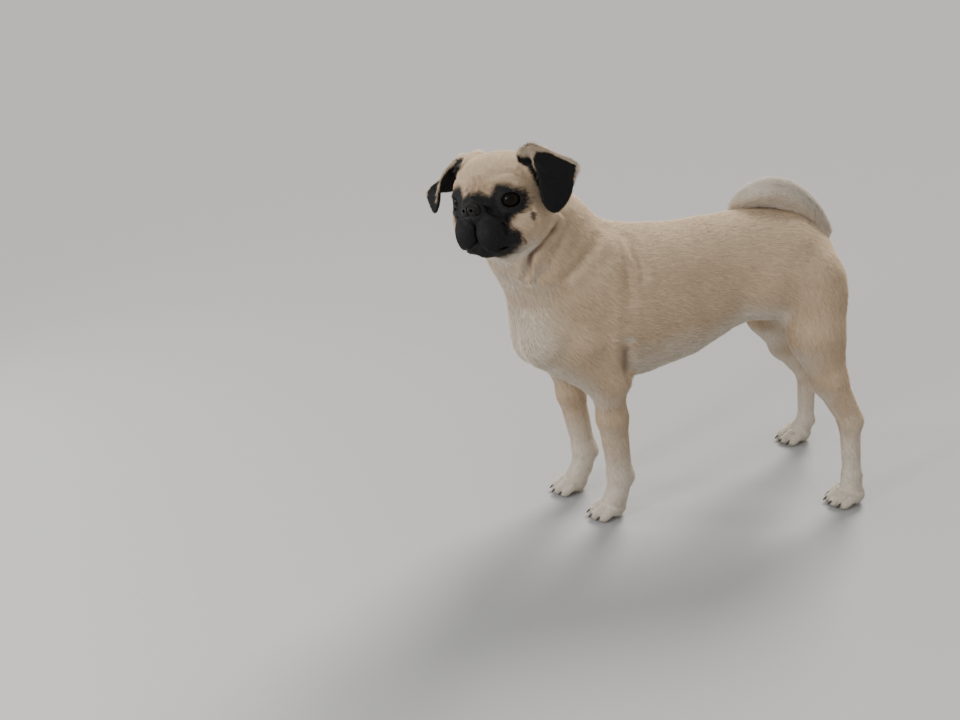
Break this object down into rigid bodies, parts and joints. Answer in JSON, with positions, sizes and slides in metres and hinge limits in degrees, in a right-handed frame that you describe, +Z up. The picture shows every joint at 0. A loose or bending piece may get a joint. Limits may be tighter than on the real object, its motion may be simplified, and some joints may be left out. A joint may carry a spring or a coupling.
{
  "type": "pug",
  "caption": "Standing life-size pug with its head turned to its left, folded ears, a short muzzle and a tail curled over its back.",
  "frame": {"origin": "middle of the bounding box, at the floor", "axes": "+Z up, +X towards the rump, so the dog faces -X; its left side is on -Y"},
  "size_m": [0.4518, 0.1836, 0.4148],
  "materials": {
    "coat": "short fawn fur",
    "pale_coat": "short pale fur",
    "mask": "short fur, fawn over the skull and black over the muzzle",
    "ear": "velvety black fur",
    "nose": "moist black",
    "eye": "wet dark brown",
    "claw": "dull dark horn"
  },
  "bodies": {
    "root": {"ear_left": "ear", "ear_right": "ear", "eye_left": "eye", "eye_right": "eye", "nose": "nose", "head": "mask", "neck": "coat", "foreleg_left": "coat", "claw_fore_left_1": "claw", "claw_fore_left_2": "claw", "claw_fore_left_3": "claw", "claw_fore_left_4": "claw", "paw_fore_left": "pale_coat", "foreleg_right": "coat", "claw_fore_right_1": "claw", "claw_fore_right_2": "claw", "claw_fore_right_3": "claw", "claw_fore_right_4": "claw", "paw_fore_right": "pale_coat", "hindleg_left": "coat", "claw_hind_left_1": "claw", "claw_hind_left_2": "claw", "claw_hind_left_3": "claw", "claw_hind_left_4": "claw", "paw_hind_left": "pale_coat", "hindleg_right": "coat", "claw_hind_right_1": "claw", "claw_hind_right_2": "claw", "claw_hind_right_3": "claw", "claw_hind_right_4": "claw", "paw_hind_right": "pale_coat", "torso": "coat", "tail": "coat"}
  },
  "joints": []
}
